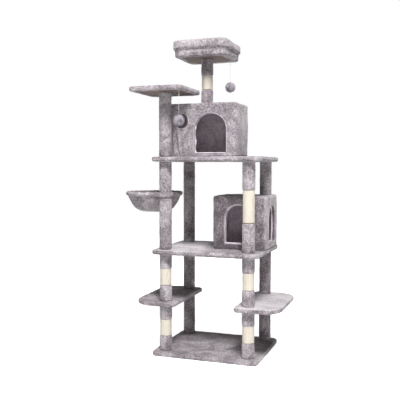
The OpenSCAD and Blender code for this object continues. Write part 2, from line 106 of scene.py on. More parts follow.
bpy.ops.mesh.primitive_plane_add(size=60)
floor = bpy.context.object
floor.name = "studio_floor"
floor_paint, floor_tree, floor_shader = new_material("floor_paint")
floor_grain = node(floor_tree, "TexNoise", {"Scale": 2.0, "Detail": 3.0})
floor_tone = node(floor_tree, "MapRange", {
    "Value": floor_grain.outputs["Fac"], "To Min": 0.90, "To Max": 0.94})
floor_tree.links.new(floor_tone.outputs["Result"], floor_shader.inputs["Base Color"])
floor_shader.inputs["Roughness"].default_value = 0.8
floor_tree.links.new(floor_tone.outputs["Result"], floor_shader.inputs["Emission Color"])
floor_paths = node(floor_tree, "LightPath")
floor_glow = node(floor_tree, "MapRange", {
    "Value": floor_paths.outputs["Is Camera Ray"], "To Min": 0.30, "To Max": 0.95})
floor_tree.links.new(floor_glow.outputs["Result"], floor_shader.inputs["Emission Strength"])
floor.data.materials.append(floor_paint)


# ---- Strings of the two toys ----
# Each pompom hangs from a loop by 118 mm of white two-ply cotton string, 2.5 mm thick.
# The string turns with its pompom under the wire staple.
STRING_THICKNESS = 0.0025
STRING_LENGTH = 0.118
LEFT_STRING_PLACE = (-0.105, -0.315)
RIGHT_STRING_PLACE = (0.045, 0.105)


def apply_step(piece, kind, **settings):
    """Put one modifier on a piece and apply it."""
    step = piece.modifiers.new(kind.lower(), kind)
    for name, value in settings.items():
        setattr(step, name, value)
    bpy.context.view_layer.objects.active = piece
    bpy.ops.object.modifier_apply(modifier=step.name)


def place_in_mesh(piece):
    """Move a piece's place, turn and size into its mesh."""
    bpy.ops.object.select_all(action="DESELECT")
    piece.select_set(True)
    bpy.context.view_layer.objects.active = piece
    bpy.ops.object.transform_apply(location=True, rotation=True, scale=True)


def into_edit(piece):
    bpy.ops.object.select_all(action="DESELECT")
    piece.select_set(True)
    bpy.context.view_layer.objects.active = piece
    bpy.ops.object.mode_set(mode="EDIT")


def out_of_edit():
    bpy.ops.object.mode_set(mode="OBJECT")


def pick(kind, test):
    """In edit mode, select the faces or edges whose middle and direction pass the test."""
    bpy.ops.mesh.select_mode(type=kind)
    bpy.ops.mesh.select_all(action="DESELECT")
    mesh = bmesh.from_edit_mesh(bpy.context.edit_object.data)
    for part in mesh.faces if kind == "FACE" else mesh.edges:
        if kind == "FACE":
            middle, way = part.calc_center_median(), part.normal
        else:
            middle = (part.verts[0].co + part.verts[1].co) / 2
            way = (part.verts[1].co - part.verts[0].co).normalized()
        part.select_set(bool(test(middle, way)))
    bmesh.update_edit_mesh(bpy.context.edit_object.data)


def make_outward(piece):
    """Merge doubles and point every face outwards."""
    into_edit(piece)
    bpy.ops.mesh.select_all(action="SELECT")
    bpy.ops.mesh.remove_doubles(threshold=0.00002)
    bpy.ops.mesh.normals_make_consistent(inside=False)
    out_of_edit()


def smooth(piece, angle=180):
    bpy.ops.object.select_all(action="DESELECT")
    piece.select_set(True)
    bpy.context.view_layer.objects.active = piece
    if angle < 180:
        bpy.ops.object.shade_smooth_by_angle(angle=math.radians(angle))
    else:
        bpy.ops.object.shade_smooth()


def hand_over(piece, material, body, slot, *nodes):
    """Give a finished piece its material and its body, and hide the CAD nodes it stands for."""
    piece.data.materials.clear()
    piece.data.materials.append(material)
    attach(piece, body)
    if nodes:
        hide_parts(*nodes)


def join(pieces, name):
    """One piece made of several."""
    bpy.ops.object.select_all(action="DESELECT")
    for piece in pieces:
        piece.select_set(True)
    bpy.context.view_layer.objects.active = pieces[0]
    if len(pieces) > 1:
        bpy.ops.object.join()
    pieces[0].name = pieces[0].data.name = name
    return pieces[0]


string_cotton, string_tree, string_shader = new_material("string_cotton")
string_coords = node(string_tree, "TexCoord")
string_fuzz = node(string_tree, "TexNoise", {
    "Vector": string_coords.outputs["Object"], "Scale": 1400.0, "Detail": 4.0})
string_tone = node(string_tree, "ValToRGB", {"Fac": string_fuzz.outputs["Fac"]})
string_tone.color_ramp.elements[0].position = 0.3
string_tone.color_ramp.elements[0].color = (0.36, 0.33, 0.32, 1)
string_tone.color_ramp.elements[1].position = 0.62
string_tone.color_ramp.elements[1].color = (0.66, 0.63, 0.62, 1)
string_bump = node(string_tree, "Bump", {
    "Height": string_fuzz.outputs["Fac"], "Distance": 0.0003, "Strength": 0.6})
string_tree.links.new(string_tone.outputs["Color"], string_shader.inputs["Base Color"])
string_tree.links.new(string_bump.outputs["Normal"], string_shader.inputs["Normal"])
string_shader.inputs["Roughness"].default_value = 0.85
string_shader.inputs["Sheen Weight"].default_value = 0.25


def twisted_string(name, place, top, body, node_name):
    """Two plies side by side, screwed downwards into a twisted string."""
    plies = []
    ply_r = STRING_THICKNESS * 0.27
    turn_length = 0.0059
    for side in (-1, 1):
        bpy.ops.object.select_all(action="DESELECT")
        bpy.ops.mesh.primitive_circle_add(
            vertices=7, radius=ply_r, fill_type="NOTHING",
            location=(side * (STRING_THICKNESS / 2 - ply_r), 0, 0))
        plies.append(bpy.context.object)
        place_in_mesh(plies[-1])
    string = join(plies, name)
    apply_step(string, "SCREW", angle=math.radians(360), screw_offset=turn_length,
               iterations=round(STRING_LENGTH / turn_length), steps=10, render_steps=10,
               use_merge_vertices=False)
    into_edit(string)
    bpy.ops.mesh.select_all(action="DESELECT")
    bpy.ops.mesh.select_non_manifold()
    bpy.ops.mesh.edge_face_add()
    bpy.ops.mesh.select_all(action="SELECT")
    bpy.ops.transform.translate(value=(place[0], place[1], top - STRING_LENGTH))
    out_of_edit()
    make_outward(string)
    smooth(string, 60)
    hand_over(string, string_cotton, body, "string", node_name)
    return string


left_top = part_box("left_toy_string")[1][2]
right_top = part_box("right_toy_string")[1][2]
left_string = twisted_string(
    "left_toy_cord", LEFT_STRING_PLACE, left_top, "left_toy", "left_toy_string")
right_string = twisted_string(
    "right_toy_cord", RIGHT_STRING_PLACE, right_top, "right_toy", "right_toy_string")


# ---- Pompoms ----
# Each is a stuffed ball of grey plush with a short, springy pile. The knot of the string
# sits on its top as a small tuft, painted nearly black as painted shade.
POMPOM_R = 0.030
PILE_COUNT = 1500


def colour_mix(tree, factor, first, second, mode="MIX"):
    """A colour mixed from two, by a value from 0 to 1."""
    made = tree.nodes.new("ShaderNodeMix")
    made.data_type = "RGBA"
    made.blend_type = mode
    for socket, value in ((0, factor), (6, first), (7, second)):
        if isinstance(value, bpy.types.NodeSocket):
            tree.links.new(value, made.inputs[socket])
        else:
            made.inputs[socket].default_value = value
    return made.outputs[2]


def new_group(name, inputs, outputs):
    """An empty shader node group with named inputs (and their values) and outputs."""
    group = bpy.data.node_groups.new(name, "ShaderNodeTree")
    kinds = {float: "NodeSocketFloat", tuple: "NodeSocketColor"}
    for label, value in inputs.items():
        socket = group.interface.new_socket(label, in_out="INPUT", socket_type=kinds[type(value)])
        socket.default_value = value
    for label, kind in outputs.items():
        group.interface.new_socket(label, in_out="OUTPUT", socket_type=kind)
    return group, group.nodes.new("NodeGroupInput"), group.nodes.new("NodeGroupOutput")


def use_group(tree, group, **values):
    """Place a node group in a material, with this material's own values."""
    placed = tree.nodes.new("ShaderNodeGroup")
    placed.node_tree = group
    for label, value in values.items():
        placed.inputs[label.replace("_", " ")].default_value = value
    return placed


# Brushed pile: light and dark patches where hands and cats stroked it, clumps, fibres, pale
# tips that catch the light, and pile painted paler along every ridge and edge as a painted
# highlight
plush_pile, pile_in, pile_out = new_group(
    "plush_pile",
    {"Shade": (0.1, 0.1, 0.1, 1), "Middle": (0.3, 0.3, 0.3, 1), "Light": (0.5, 0.5, 0.5, 1),
     "Patch Scale": 7.0, "Patch Strength": 0.34, "Clump Scale": 100.0, "Fibre Scale": 700.0,
     "Lift": 0.0},
    {"Colour": "NodeSocketColor", "Height": "NodeSocketFloat", "Roughness": "NodeSocketFloat"})
pile_coords = node(plush_pile, "TexCoord")
pile_swirl = node(plush_pile, "TexNoise", {
    "Vector": pile_coords.outputs["Object"], "Scale": pile_in.outputs["Patch Scale"],
    "Detail": 3.0, "Roughness": 0.45, "Distortion": 1.6})
pile_patch = node(plush_pile, "MapRange", {
    "Value": pile_swirl.outputs["Fac"], "From Min": 0.34, "From Max": 0.66},
    interpolation_type="SMOOTHSTEP")
pile_clump = node(plush_pile, "TexNoise", {
    "Vector": pile_coords.outputs["Object"], "Scale": pile_in.outputs["Clump Scale"],
    "Detail": 4.0, "Roughness": 0.65, "Distortion": 0.5})
pile_fibre = node(plush_pile, "TexNoise", {
    "Vector": pile_coords.outputs["Object"], "Scale": pile_in.outputs["Fibre Scale"],
    "Detail": 3.0, "Roughness": 0.7})
patch_part = node(plush_pile, "Math", {
    0: pile_patch.outputs["Result"], 1: pile_in.outputs["Patch Strength"]}, operation="MULTIPLY")
clump_part = node(plush_pile, "Math", {
    0: pile_clump.outputs["Fac"], 1: 1.5, 2: patch_part.outputs["Value"]},
    operation="MULTIPLY_ADD")
fibre_part = node(plush_pile, "Math", {
    0: pile_fibre.outputs["Fac"], 1: 0.40, 2: clump_part.outputs["Value"]},
    operation="MULTIPLY_ADD")
pile_fleck = node(plush_pile, "TexNoise", {
    "Vector": pile_coords.outputs["Object"], "Scale": 230.0, "Detail": 1.0})
fleck_tip = node(plush_pile, "MapRange", {
    "Value": pile_fleck.outputs["Fac"], "From Min": 0.60, "From Max": 0.72, "To Max": 0.55})
# Painted highlight: the pile is painted paler where the surface bends outward, on ridges and
# edges.
pile_shape = node(plush_pile, "NewGeometry")
pile_ridge_highlight = node(plush_pile, "MapRange", {
    "Value": pile_shape.outputs["Pointiness"], "From Min": 0.505, "From Max": 0.56,
    "To Max": 0.08})
fleck_part = node(plush_pile, "Math", {
    0: fibre_part.outputs["Value"], 1: fleck_tip.outputs["Result"]}, operation="ADD")
ridge_highlight_part = node(plush_pile, "Math", {
    0: fleck_part.outputs["Value"], 1: pile_ridge_highlight.outputs["Result"]}, operation="ADD")
# The Painted Light input adds painted light (above zero) and painted shade (below zero) to the
# pile.
painted_light_part = node(plush_pile, "Math", {
    0: ridge_highlight_part.outputs["Value"], 1: pile_in.outputs["Lift"]}, operation="ADD")
pile_level = node(plush_pile, "MapRange", {
    "Value": painted_light_part.outputs["Value"], "From Min": 0.75, "From Max": 1.68})
pile_lower = node(plush_pile, "MapRange", {
    "Value": pile_level.outputs["Result"], "From Min": 0.0, "From Max": 0.5})
pile_upper = node(plush_pile, "MapRange", {
    "Value": pile_level.outputs["Result"], "From Min": 0.5, "From Max": 1.0})
pile_dark = colour_mix(plush_pile, pile_lower.outputs["Result"],
                       pile_in.outputs["Shade"], pile_in.outputs["Middle"])
pile_colour = colour_mix(plush_pile, pile_upper.outputs["Result"],
                         pile_dark, pile_in.outputs["Light"])
pile_height = node(plush_pile, "Math", {
    0: pile_clump.outputs["Fac"], 1: 1.6, 2: pile_fibre.outputs["Fac"]},
    operation="MULTIPLY_ADD")
pile_gloss = node(plush_pile, "MapRange", {
    "Value": pile_level.outputs["Result"], "To Min": 0.95, "To Max": 0.78})
plush_pile.links.new(pile_colour, pile_out.inputs["Colour"])
plush_pile.links.new(pile_height.outputs["Value"], pile_out.inputs["Height"])
plush_pile.links.new(pile_gloss.outputs["Result"], pile_out.inputs["Roughness"])


def plush_material(name, sheen, bump, **values):
    """Plush in one colour of pile."""
    made, tree, shader = new_material(name)
    pile = use_group(tree, plush_pile, **values)
    relief = node(tree, "Bump", {"Height": pile.outputs["Height"], "Distance": bump})
    tree.links.new(pile.outputs["Colour"], shader.inputs["Base Color"])
    tree.links.new(pile.outputs["Roughness"], shader.inputs["Roughness"])
    tree.links.new(relief.outputs["Normal"], shader.inputs["Normal"])
    shader.inputs["Sheen Weight"].default_value = sheen
    shader.inputs["Sheen Roughness"].default_value = 0.45
    shader.inputs["Sheen Tint"].default_value = (0.97, 0.93, 0.96, 1)
    shader.inputs["Specular IOR Level"].default_value = 0.15
    return made


pompom_plush = plush_material(
    "pompom_plush", 0.5, 0.0012, Shade=(0.14, 0.12, 0.145, 1), Middle=(0.30, 0.27, 0.31, 1),
    Light=(0.48, 0.455, 0.50, 1), Patch_Scale=45.0, Patch_Strength=0.8, Clump_Scale=260.0)
# Painted shade: the knot of white string is painted nearly black.
knot_painted_shade_plush = plush_material(
    "knot_painted_shade_plush", 0.3, 0.0008, Shade=(0.03, 0.025, 0.03, 1), Middle=(0.06, 0.05, 0.06, 1),
    Light=(0.12, 0.10, 0.12, 1), Patch_Scale=60.0, Clump_Scale=300.0)


def copies_in_mesh(pattern, places, name):
    """One piece made of a copy of a small mesh at each place. The pattern is then removed."""
    many = bmesh.new()
    for place in places:
        before = len(many.verts)
        many.from_mesh(pattern.data)
        many.verts.ensure_lookup_table()
        bmesh.ops.transform(many, matrix=place, verts=many.verts[before:])
    mesh = bpy.data.meshes.new(name)
    many.to_mesh(mesh)
    many.free()
    bpy.data.objects.remove(pattern)
    piece = bpy.data.objects.new(name, mesh)
    bpy.context.collection.objects.link(piece)
    return piece


def surface_noise(name, size, depth=2):
    """Cloud noise that a Displace modifier reads."""
    made = bpy.data.textures.new(name, "CLOUDS")
    made.noise_scale = size
    made.noise_depth = depth
    return made


def rumple(piece, name, size, strength, depth=2):
    """Push a surface in and out by cloud noise of this size."""
    apply_step(piece, "DISPLACE", texture=surface_noise(name, size, depth),
               texture_coords="LOCAL", strength=strength, mid_level=0.5)


def pompom(name, centre, body, node_name, seed):
    """A lumpy core with bent three-sided tufts all over it, and the string's knot on top."""
    dice = random.Random(seed)
    bpy.ops.object.select_all(action="DESELECT")
    bpy.ops.mesh.primitive_ico_sphere_add(
        subdivisions=5, radius=POMPOM_R * 0.86, location=centre)
    core = bpy.context.object
    place_in_mesh(core)
    rumple(core, name + "_lumps", 0.012, 0.005)
    bpy.ops.object.select_all(action="DESELECT")
    bpy.ops.mesh.primitive_cone_add(vertices=3, radius1=0.0010, radius2=0.0002, depth=1.0)
    tuft = bpy.context.object
    into_edit(tuft)
    bpy.ops.mesh.select_all(action="SELECT")
    bpy.ops.transform.translate(value=(0, 0, 0.5))
    out_of_edit()
    places = []
    for i in range(PILE_COUNT):
        height = 1 - 2 * (i + 0.5) / PILE_COUNT
        turn = i * math.pi * (3 - math.sqrt(5))
        around = math.sqrt(1 - height * height)
        way = Vector((around * math.cos(turn), around * math.sin(turn), height))
        lean = Vector([dice.gauss(0, 0.30) for _ in range(3)])
        foot = Vector(centre) + way * POMPOM_R * 0.80
        length = POMPOM_R * dice.uniform(0.16, 0.24)
        places.append(Matrix.Translation(foot) @ (way + lean).to_track_quat("Z", "Y").to_matrix()
                      .to_4x4() @ Matrix.Diagonal((1, 1, length, 1)))
    pile = copies_in_mesh(tuft, places, name + "_pile")
    ball = join([core, pile], name)
    smooth(ball)
    hand_over(ball, pompom_plush, body, "pompom", node_name)
    bpy.ops.object.select_all(action="DESELECT")
    bpy.ops.mesh.primitive_torus_add(
        major_radius=0.0027, minor_radius=0.0015, major_segments=20, minor_segments=10,
        location=(centre[0], centre[1], centre[2] + POMPOM_R * 0.97), rotation=(0.25, 0.2, 0))
    knot = bpy.context.object
    knot.name = name + "_knot"
    place_in_mesh(knot)
    rumple(knot, name + "_knot_twist", 0.003, 0.001)
    smooth(knot)
    hand_over(knot, knot_painted_shade_plush, body, "string")
    return ball, knot


def middle_of(name):
    low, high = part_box(name)
    return [(a + b) / 2 for a, b in zip(low, high)]


left_ball, left_knot = pompom(
    "left_pompom_ball", middle_of("left_pompom"), "left_toy", "left_pompom", 3)
right_ball, right_knot = pompom(
    "right_pompom_ball", middle_of("right_pompom"), "right_toy", "right_pompom", 8)


# ---- Staples and loops that the toys hang from ----
# Each toy's string ends in a loop of the same cotton, hung over a bright wire staple that
# is driven up into the board above.
steel, steel_tree, steel_shader = new_material("zinc_plated_steel")
steel_coords = node(steel_tree, "TexCoord")
steel_spangle = node(steel_tree, "TexNoise", {
    "Vector": steel_coords.outputs["Object"], "Scale": 160.0, "Detail": 5.0})
steel_tone = node(steel_tree, "ValToRGB", {"Fac": steel_spangle.outputs["Fac"]})
steel_tone.color_ramp.elements[0].color = (0.42, 0.43, 0.45, 1)
steel_tone.color_ramp.elements[1].color = (0.66, 0.67, 0.69, 1)
steel_rough = node(steel_tree, "MapRange", {
    "Value": steel_spangle.outputs["Fac"], "To Min": 0.28, "To Max": 0.48})
steel_tree.links.new(steel_tone.outputs["Color"], steel_shader.inputs["Base Color"])
steel_tree.links.new(steel_rough.outputs["Result"], steel_shader.inputs["Roughness"])
steel_shader.inputs["Metallic"].default_value = 1.0


def finish_cad(material, *names):
    """Give CAD nodes that stay in sight their material."""
    for name in names:
        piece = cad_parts[name]
        piece.data.materials.clear()
        piece.data.materials.append(material)


finish_cad(steel, "toy_staples")
finish_cad(string_cotton, "left_toy_loop", "right_toy_loop")


# ---- Plush-covered boards: base, side shelves, platforms and perch ----
# Each is a 15 mm particle board under grey plush. The plush wraps the edge, and its lip is
# stapled to the underside, where the bare board shows; the base's lip has no staples.
LIP_REACH = 0.025
EDGE_ROUND = 0.006
RECESS = 0.007
PLUSH_SKIN = 0.0042
BOARD_VOXEL = 0.0052

TREE_PILE = {"Shade": (0.100, 0.083, 0.094, 1), "Middle": (0.305, 0.272, 0.293, 1),
             "Light": (0.620, 0.588, 0.612, 1)}
TREE_SHEEN = 0.35
TREE_BUMP = 0.0022
tree_plush = plush_material("tree_plush", TREE_SHEEN, TREE_BUMP, **TREE_PILE)


def paint_light_into_pile(plush, amount):
    """Add a value that changes over the surface to the pile's colour as painted light and painted
    shade.
    """
    tree = plush.node_tree
    pile = next(n for n in tree.nodes if n.type == "GROUP")
    tree.links.new(amount, pile.inputs["Lift"])


def painted_light_top_plush(name, from_x, to_x, wave, painted_light_amount):
    """Tree plush with painted light: on the top of a board the pile is painted paler on one side
    of a wavy line.
    """
    made = plush_material(name, TREE_SHEEN, TREE_BUMP, **TREE_PILE)
    tree = made.node_tree
    spot = node(tree, "SeparateXYZ", {"Vector": node(tree, "TexCoord").outputs["Object"]})
    swing = node(tree, "Math", {
        0: node(tree, "Math", {0: spot.outputs["Y"], 1: 9.0}, operation="MULTIPLY").outputs[0]},
        operation="SINE")
    line = node(tree, "Math", {0: swing.outputs[0], 1: wave, 2: spot.outputs["X"]},
                operation="MULTIPLY_ADD")
    side = node(tree, "MapRange", {
        "Value": line.outputs[0], "From Min": from_x, "From Max": to_x, "To Max": painted_light_amount},
        interpolation_type="SMOOTHSTEP")
    facing = node(tree, "SeparateXYZ", {"Vector": node(tree, "NewGeometry").outputs["Normal"]})
    top = node(tree, "MapRange", {
        "Value": facing.outputs["Z"], "From Min": 0.55, "From Max": 0.90})
    painted_light_mask = node(tree, "Math", {0: side.outputs["Result"], 1: top.outputs["Result"]},
                operation="MULTIPLY")
    paint_light_into_pile(made, painted_light_mask.outputs[0])
    return made


# Painted light: the left part of the middle platform's top and the right part of the right
# shelf's top are painted paler.
middle_painted_light_plush = painted_light_top_plush("middle_board_painted_light_plush", -0.02, -0.10, 0.05, 0.38)
shelf_painted_light_plush = painted_light_top_plush("right_shelf_painted_light_plush", 0.10, 0.16, 0.01, 0.50)

particle_board, chip_tree, chip_shader = new_material("particle_board")
chip_coords = node(chip_tree, "TexCoord")
chip_cells = node(chip_tree, "TexVoronoi", {
    "Vector": chip_coords.outputs["Object"], "Scale": 420.0, "Randomness": 1.0})
chip_grain = node(chip_tree, "TexNoise", {
    "Vector": chip_coords.outputs["Object"], "Scale": 60.0, "Detail": 6.0, "Roughness": 0.7})
chip_tone = node(chip_tree, "ValToRGB", {"Fac": chip_cells.outputs["Color"]})
chip_tone.color_ramp.elements[0].color = (0.095, 0.068, 0.058, 1)
chip_tone.color_ramp.elements[1].color = (0.265, 0.202, 0.175, 1)
chip_stain = node(chip_tree, "ValToRGB", {"Fac": chip_grain.outputs["Fac"]})
chip_stain.color_ramp.elements[0].position = 0.3
chip_stain.color_ramp.elements[0].color = (0.62, 0.60, 0.58, 1)
chip_stain.color_ramp.elements[1].position = 0.7
chip_stain.color_ramp.elements[1].color = (1.0, 1.0, 1.0, 1)
chip_colour = colour_mix(chip_tree, 1.0, chip_tone.outputs["Color"],
                         chip_stain.outputs["Color"], "MULTIPLY")
chip_bump = node(chip_tree, "Bump", {
    "Height": chip_cells.outputs["Distance"], "Distance": 0.0003, "Strength": 0.5})
chip_tree.links.new(chip_colour, chip_shader.inputs["Base Color"])
chip_tree.links.new(chip_bump.outputs["Normal"], chip_shader.inputs["Normal"])
chip_shader.inputs["Roughness"].default_value = 0.72


def block_in_box(name, low, high):
    """A cube that fills a box, with its place in its mesh."""
    bpy.ops.object.select_all(action="DESELECT")
    bpy.ops.mesh.primitive_cube_add(
        size=1, location=[(a + b) / 2 for a, b in zip(low, high)],
        scale=[b - a for a, b in zip(low, high)])
    block = bpy.context.object
    block.name = block.data.name = name
    place_in_mesh(block)
    return block


def upright(way):
    return abs(way.z) > 0.9


def round_uprights(block, radii, segments=10):
    """Round a block's upright edges: one radius for its left side and one for its right."""
    centre_x = sum(v.co.x for v in block.data.vertices) / len(block.data.vertices)
    into_edit(block)
    for side, radius in zip((-1, 1), radii):
        pick("EDGE", lambda middle, way: upright(way)
             and (middle.x - centre_x) * side > 0.02)
        bpy.ops.mesh.bevel(offset=radius, segments=segments, affect="EDGES")
    out_of_edit()


def open_and_line(skin, hidden, thickness):
    """Take away the faces that nobody sees, and give the rest the thickness of cloth."""
    into_edit(skin)
    pick("FACE", hidden)
    bpy.ops.mesh.delete(type="FACE")
    out_of_edit()
    apply_step(skin, "SOLIDIFY", thickness=thickness, offset=-1)


def plush_board(name, node_name, radii, material):
    """The plush on one board, from its top over its edge to the lip underneath."""
    low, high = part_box(node_name)
    skin = block_in_box(name, low, high)
    round_uprights(skin, radii)
    into_edit(skin)
    pick("EDGE", lambda middle, way: abs(way.z) < 0.1)
    bpy.ops.mesh.bevel(offset=EDGE_ROUND, segments=4, affect="EDGES")
    pick("FACE", lambda middle, way: way.z < -0.9)
    bpy.ops.mesh.inset(thickness=LIP_REACH - EDGE_ROUND)
    bpy.ops.mesh.extrude_region_move(TRANSFORM_OT_translate={"value": (0, 0, RECESS)})
    out_of_edit()
    apply_step(skin, "REMESH", mode="VOXEL", voxel_size=BOARD_VOXEL)
    apply_step(skin, "SMOOTH", factor=0.5, iterations=2)
    rumple(skin, name + "_dents", 0.045, 0.0030)
    rumple(skin, name + "_clumps", 0.012, 0.0016)
    open_and_line(skin, lambda middle, way: way.z < -0.4 and middle.z > low[2] + PLUSH_SKIN
                  and middle.z < high[2] - 0.01, PLUSH_SKIN)
    smooth(skin)
    hand_over(skin, material, "tree", "plush", node_name)
    return skin


STAPLE_GAP = 0.048
STAPLE_W = 0.010
STAPLE_LEG = 0.003
STAPLE_WIRE_R = 0.0006
STAPLE_INSET = 0.014
STAPLE_PROUD = 0.0004


def wire_staples(name, low, high, inset, corner, z, gap=STAPLE_GAP, material=steel,
                 slot="steel"):
    """A row of wire staples, or of stitches, along each side of a board or cushion."""
    wire = bpy.data.meshes.new(name)
    half = STAPLE_W / 2
    wire.from_pydata([(-half, 0, STAPLE_LEG), (-half, 0, 0), (half, 0, 0),
                      (half, 0, STAPLE_LEG)], [(0, 1), (1, 2), (2, 3)], [])
    staple = bpy.data.objects.new(name, wire)
    bpy.context.collection.objects.link(staple)
    bpy.ops.object.select_all(action="DESELECT")
    staple.select_set(True)
    bpy.context.view_layer.objects.active = staple
    bpy.ops.object.convert(target="CURVE")
    staple.data.bevel_depth = STAPLE_WIRE_R
    staple.data.bevel_resolution = 1
    staple.data.use_fill_caps = True
    bpy.ops.object.convert(target="MESH")
    middle_x, middle_y = (low[0] + high[0]) / 2, (low[1] + high[1]) / 2
    half_x, half_y = (high[0] - low[0]) / 2, (high[1] - low[1]) / 2
    places = []
    for turn, reach, away in ((0, half_x, half_y), (90, half_y, half_x)):
        run = 2 * (reach - corner)
        count = max(2, round(run / gap))
        for side in (-1, 1):
            for k in range(count):
                along = -run / 2 + run * (k + 0.5) / count
                across = side * (away - inset)
                x, y = (along, across) if turn == 0 else (across, along)
                askew = math.radians(turn + 7 * math.sin(5.1 * k))
                places.append(Matrix.Translation((middle_x + x, middle_y + y, z))
                              @ Matrix.Rotation(askew, 4, "Z"))
    row = copies_in_mesh(bpy.context.object, places, name)
    smooth(row, 60)
    hand_over(row, material, "tree", slot)


PLATFORM_R = (0.035, 0.035)
for board_name, corner_r in (
        ("base", PLATFORM_R), ("left_shelf", (0.100, 0.030)), ("right_shelf", (0.030, 0.100)),
        ("middle", PLATFORM_R), ("upper", PLATFORM_R), ("perch", (0.030, 0.030))):
    plush_board(board_name + "_plush", board_name + "_cover", corner_r,
                {"middle": middle_painted_light_plush, "right_shelf": shelf_painted_light_plush}.get(board_name, tree_plush))
    finish_cad(particle_board, board_name + "_board")
    if board_name != "base":
        board_low, board_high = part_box(board_name + "_cover")
        wire_staples(board_name + "_lip_staples", board_low, board_high, STAPLE_INSET,
                     max(corner_r) + 0.01, board_low[2] - STAPLE_PROUD)


# ---- Plush post sleeves ----
# Fourteen lengths of cardboard tube stand between the boards. A plush sleeve is glued on
# each, with a butt seam at the back, and it is parted where a band of sisal is wound.
POST_R = 0.034
SLEEVE_SKIN = 0.0055
BANDS = {
    "front_left_post_1": "front_left_sisal_1", "front_left_post_2": "front_left_sisal_2",
    "front_right_post_1": "front_right_sisal_1", "front_right_post_2": "front_right_sisal_2",
    "front_right_post_3": "front_right_sisal_3", "bed_post": "bed_post_sisal"}
PLAIN_POSTS = (
    "front_left_post_3", "front_left_post_4", "back_left_post_1", "back_left_post_2",
    "back_left_post_3", "back_right_post_1", "back_right_post_2", "back_right_post_3")


def sleeve(name, axis, foot, top):
    """A plush sleeve: rings of cloth, drawn in at both ends and along the seam."""
    bpy.ops.object.select_all(action="DESELECT")
    bpy.ops.mesh.primitive_cylinder_add(
        vertices=60, radius=POST_R, depth=top - foot, end_fill_type="NOTHING",
        location=(axis[0], axis[1], (foot + top) / 2))
    cloth = bpy.context.object
    cloth.name = name
    place_in_mesh(cloth)
    into_edit(cloth)
    pick("EDGE", lambda middle, way: upright(way))
    bpy.ops.mesh.subdivide(number_cuts=min(96, max(4, round((top - foot) / 0.0055))))
    out_of_edit()
    for v in cloth.data.vertices:
        end = min(v.co.z - foot, top - v.co.z)
        out = Vector((v.co.x - axis[0], v.co.y - axis[1], 0))
        seam = math.atan2(out.x, out.y) * POST_R / 0.0022
        draw = 0.0022 * math.exp(-(end / 0.0035) ** 2) + 0.0016 * math.exp(-seam * seam)
        v.co -= out.normalized() * draw
    rumple(cloth, name + "_dents", 0.040, 0.0026)
    rumple(cloth, name + "_clumps", 0.011, 0.0014)
    apply_step(cloth, "SOLIDIFY", thickness=SLEEVE_SKIN, offset=-1)
    smooth(cloth)
    return cloth


for post in list(BANDS) + list(PLAIN_POSTS):
    low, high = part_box(post)
    axis = ((low[0] + high[0]) / 2, (low[1] + high[1]) / 2)
    lengths = [(low[2], high[2])]
    if post in BANDS:
        band_low, band_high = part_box(BANDS[post])
        lengths = [(low[2], band_low[2]), (band_high[2], high[2])]
    cloth = join([sleeve(post + "_sleeve", axis, foot, top) for foot, top in lengths],
                 post + "_sleeve")
    hand_over(cloth, tree_plush, "tree", "plush", post)


# ---- Sisal bands ----
# Natural sisal rope, 4 mm thick, is wound tight round the tube where the plush is parted,
# for the cats' claws. Its three strands twist along it.
ROPE_R = 0.00205
WIND_R = 0.0299
PITCH = 0.0040
STRANDS = 3
TWISTS_PER_TURN = 21

sisal_rope, sisal_tree, sisal_shader = new_material("sisal_rope")
sisal_uv = node(sisal_tree, "UVMap", uv_map="winding")
sisal_parts = node(sisal_tree, "SeparateXYZ", {"Vector": sisal_uv.outputs["UV"]})
sisal_phase = node(sisal_tree, "Math", {
    0: sisal_parts.outputs["X"], 1: sisal_parts.outputs["Y"]}, operation="ADD")
sisal_angle = node(sisal_tree, "Math", {
    0: sisal_phase.outputs["Value"], 1: 2 * math.pi}, operation="MULTIPLY")
sisal_wave = node(sisal_tree, "Math", {0: sisal_angle.outputs["Value"]}, operation="SINE")
sisal_coords = node(sisal_tree, "TexCoord")
sisal_fibres = node(sisal_tree, "TexNoise", {
    "Vector": sisal_coords.outputs["Object"], "Scale": 1100.0, "Detail": 4.0})
sisal_stain = node(sisal_tree, "TexNoise", {
    "Vector": sisal_coords.outputs["Object"], "Scale": 55.0, "Detail": 4.0})
sisal_relief = node(sisal_tree, "Math", {
    0: sisal_fibres.outputs["Fac"], 1: 1.3, 2: sisal_wave.outputs["Value"]},
    operation="MULTIPLY_ADD")
sisal_bump = node(sisal_tree, "Bump", {
    "Height": sisal_relief.outputs["Value"], "Distance": 0.00035})
# Painted shade: the rope is painted darker in the grooves between its strands.
sisal_groove_shade = node(sisal_tree, "MapRange", {
    "Value": sisal_wave.outputs["Value"], "From Min": -1.0, "From Max": 0.2})
sisal_pale = colour_mix(sisal_tree, sisal_stain.outputs["Fac"],
                        (0.74, 0.69, 0.60, 1), (0.85, 0.81, 0.73, 1))
sisal_colour = colour_mix(sisal_tree, sisal_groove_shade.outputs["Result"],
                          (0.60, 0.53, 0.42, 1), sisal_pale)
sisal_tree.links.new(sisal_colour, sisal_shader.inputs["Base Color"])
sisal_tree.links.new(sisal_bump.outputs["Normal"], sisal_shader.inputs["Normal"])
sisal_shader.inputs["Roughness"].default_value = 0.8
sisal_shader.inputs["Sheen Weight"].default_value = 0.15


def near(value, other, period):
    """The value, moved by whole periods to lie as near as it can to the other."""
    return value - period * round((value - other) / period)


